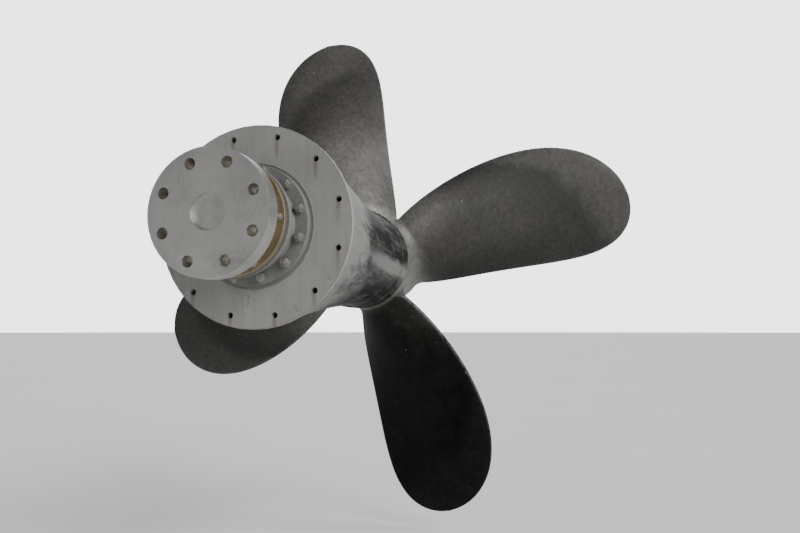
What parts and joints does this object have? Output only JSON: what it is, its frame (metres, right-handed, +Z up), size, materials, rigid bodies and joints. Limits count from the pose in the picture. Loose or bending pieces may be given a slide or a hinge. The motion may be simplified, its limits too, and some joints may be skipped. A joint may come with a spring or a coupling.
{
  "type": "ship propeller",
  "caption": "Solid right-hand ship propeller with broad rounded blades, turning on its tail shaft in the aft end of a stern boss.",
  "frame": {"origin": "on the forward flat face of the frame plate, on its vertical centre line, 440 mm above the shaft axis", "axes": "+X aft along the shaft, +Y to starboard, +Z up"},
  "size_m": [3.8756, 4.2776, 4.2776],
  "materials": {
    "propeller_bronze": "dull, dark and weathered casting",
    "cast_steel": "rough painted casting, mottled",
    "painted_plate": "matt worn paint on steel plate",
    "machined_steel": "machined, lightly stained",
    "machined_bronze": "machined, dull",
    "bearing": "dense oily hardwood staves",
    "packing": "greased plaited packing",
    "seal_rubber": "matt black rubber"
  },
  "bodies": {
    "stern": {"frame_plate": "painted_plate", "bossing_plate_lower_port": "painted_plate", "bossing_plate_lower_starboard": "painted_plate", "bossing_plate_upper_port": "painted_plate", "bossing_plate_upper_starboard": "painted_plate", "boss_casting": "cast_steel", "tube_seat": "cast_steel", "stern_tube": "cast_steel", "stern_tube_nut": "cast_steel", "aft_bush": "bearing", "neck_bush": "bearing", "bush_retainer": "machined_bronze", "stuffing_box": "cast_steel", "packing": "packing", "gland": "machined_bronze", "gland_stud_1": "machined_steel", "gland_stud_2": "machined_steel", "gland_stud_3": "machined_steel", "gland_stud_4": "machined_steel", "gland_stud_5": "machined_steel", "gland_stud_6": "machined_steel", "rope_guard_port": "painted_plate", "rope_guard_starboard": "painted_plate"},
    "wheel": {"tail_shaft": "machined_steel", "shaft_liner": "machined_bronze", "seal_ring": "seal_rubber", "shaft_key": "machined_steel", "propeller": "propeller_bronze", "propeller_nut": "machined_steel", "nut_keeper_upper": "machined_steel", "nut_keeper_lower": "machined_steel", "fairwater_cone": "propeller_bronze"}
  },
  "joints": [
    {"name": "wheel_spin", "type": "hinge", "parent": "stern", "child": "wheel", "pos_m": [0, 0, -0.44], "axis": [-1, 0, 0], "continuous": true}
  ]
}
